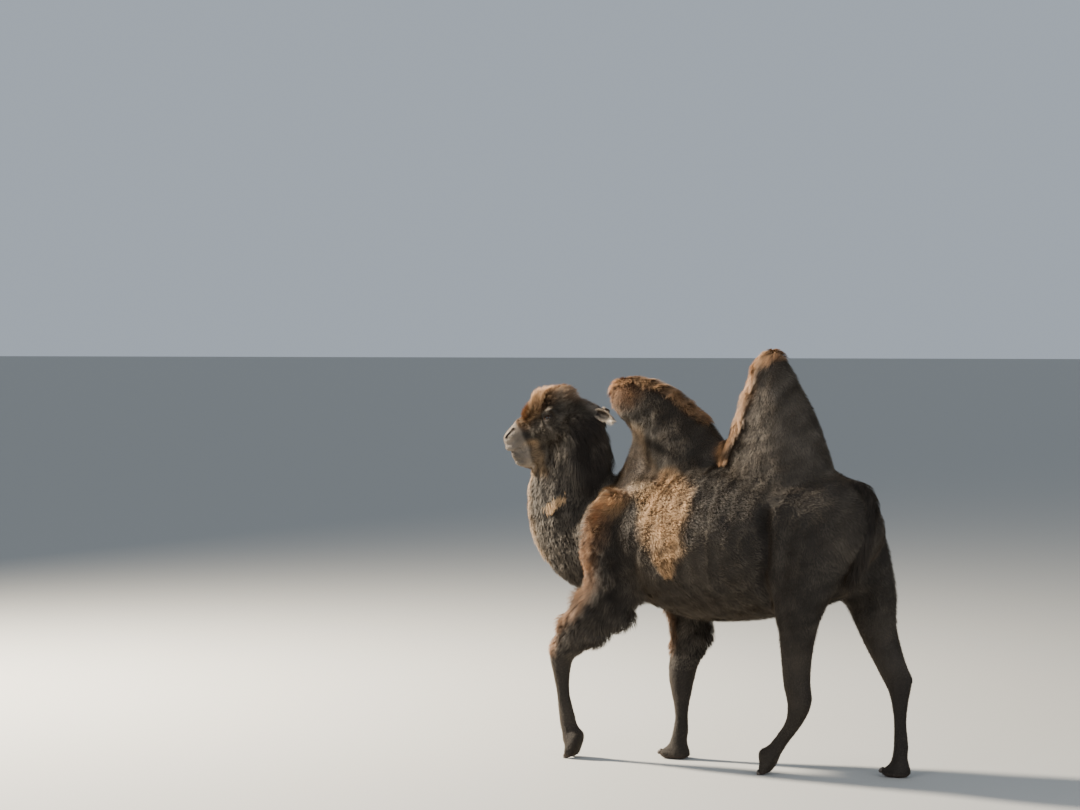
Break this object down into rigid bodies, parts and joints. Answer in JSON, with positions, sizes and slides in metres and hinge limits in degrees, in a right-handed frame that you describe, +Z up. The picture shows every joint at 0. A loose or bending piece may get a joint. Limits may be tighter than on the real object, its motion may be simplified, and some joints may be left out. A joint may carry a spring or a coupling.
{
  "type": "bactrian camel",
  "caption": "Life-size still bactrian camel in mid stride, head up, with a woolly neck and forearms, an upright rear hump and a front hump that lolls forward.",
  "frame": {"origin": "the middle of the bounding box, on the plane the feet stand on", "axes": "+X towards the head, +Y to the animal's left, +Z up"},
  "size_m": [2.2816, 0.7438, 2.2205],
  "materials": {
    "coat": "dark umber winter coat, dense and matt",
    "crest": "rust-brown hump hair with a paler fringe",
    "face": "short grey-fawn hair over skin",
    "nail": "worn dark horn",
    "eye": "wet, near black"
  },
  "bodies": {
    "root": {"head": "coat", "jaw": "face", "ear_left": "face", "ear_right": "face", "eye_left": "eye", "eye_right": "eye", "neck": "coat", "chest": "coat", "hump_front": "crest", "hump_rear": "crest", "hindquarters": "coat", "tail": "coat", "foreleg_left_forearm": "coat", "foreleg_left_cannon": "coat", "foreleg_left_foot": "coat", "foreleg_right_forearm": "coat", "foreleg_right_cannon": "coat", "foreleg_right_foot": "coat", "hindleg_left_gaskin": "coat", "hindleg_left_cannon": "coat", "hindleg_left_foot": "coat", "hindleg_right_gaskin": "coat", "hindleg_right_cannon": "coat", "hindleg_right_foot": "coat", "nail_foreleg_left_inner": "nail", "nail_foreleg_left_outer": "nail", "nail_foreleg_right_inner": "nail", "nail_foreleg_right_outer": "nail", "nail_hindleg_left_inner": "nail", "nail_hindleg_left_outer": "nail", "nail_hindleg_right_inner": "nail", "nail_hindleg_right_outer": "nail"}
  },
  "joints": []
}
